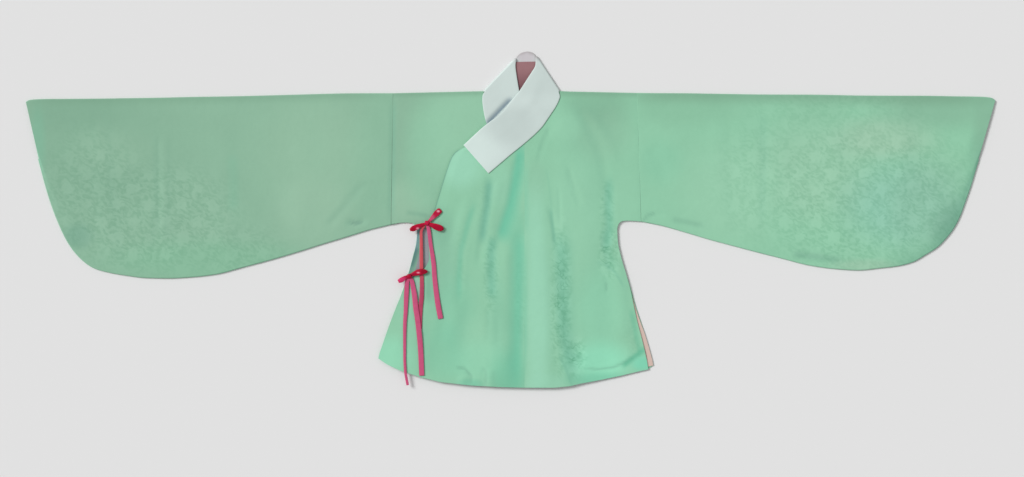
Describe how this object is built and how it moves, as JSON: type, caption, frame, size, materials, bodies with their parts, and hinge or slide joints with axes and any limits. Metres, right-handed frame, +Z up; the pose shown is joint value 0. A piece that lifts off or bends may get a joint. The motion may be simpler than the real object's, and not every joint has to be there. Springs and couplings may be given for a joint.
{
  "type": "hanfu jacket",
  "caption": "Cross-collared silk jacket laid flat, with wide rounded sleeves, a white collar band, an outer front flap and ribbon ties in bows at the side.",
  "frame": {"origin": "on the surface the jacket lies on, under the middle of its plan outline", "axes": "+X to the wearer's left along the sleeves, +Y towards the neck, +Z up out of the surface, towards the front of the jacket"},
  "size_m": [2.28, 0.79, 0.0179],
  "materials": {
    "silk_green": "light green silk damask with tone-on-tone flower sprigs",
    "collar_white": "plain cool white silk",
    "lining_rose": "plain rose lining",
    "lining_peach": "plain peach lining",
    "lining_pale": "plain pale grey facing",
    "ribbon_pink": "pink satin ribbon",
    "ribbon_coral": "coral satin ribbon",
    "ribbon_crimson": "deep crimson satin ribbon"
  },
  "bodies": {
    "root": {"body_left": "silk_green", "body_right": "silk_green", "front_flap": "silk_green", "sleeve_left": "silk_green", "sleeve_right": "silk_green", "collar": "collar_white", "neck_lining": "lining_rose", "vent_lining_left": "lining_peach", "vent_facing_right": "lining_pale", "tie_upper_base": "ribbon_crimson", "tie_upper_knot": "ribbon_crimson", "tie_upper_loop_left": "ribbon_crimson", "tie_upper_loop_right": "ribbon_crimson", "tie_upper_tail_left": "ribbon_pink", "tie_upper_tail_right": "ribbon_coral", "tie_lower_knot": "ribbon_crimson", "tie_lower_loop_left": "ribbon_crimson", "tie_lower_loop_right": "ribbon_crimson", "tie_lower_tail_left": "ribbon_pink", "tie_lower_tail_right": "ribbon_pink"}
  },
  "joints": []
}
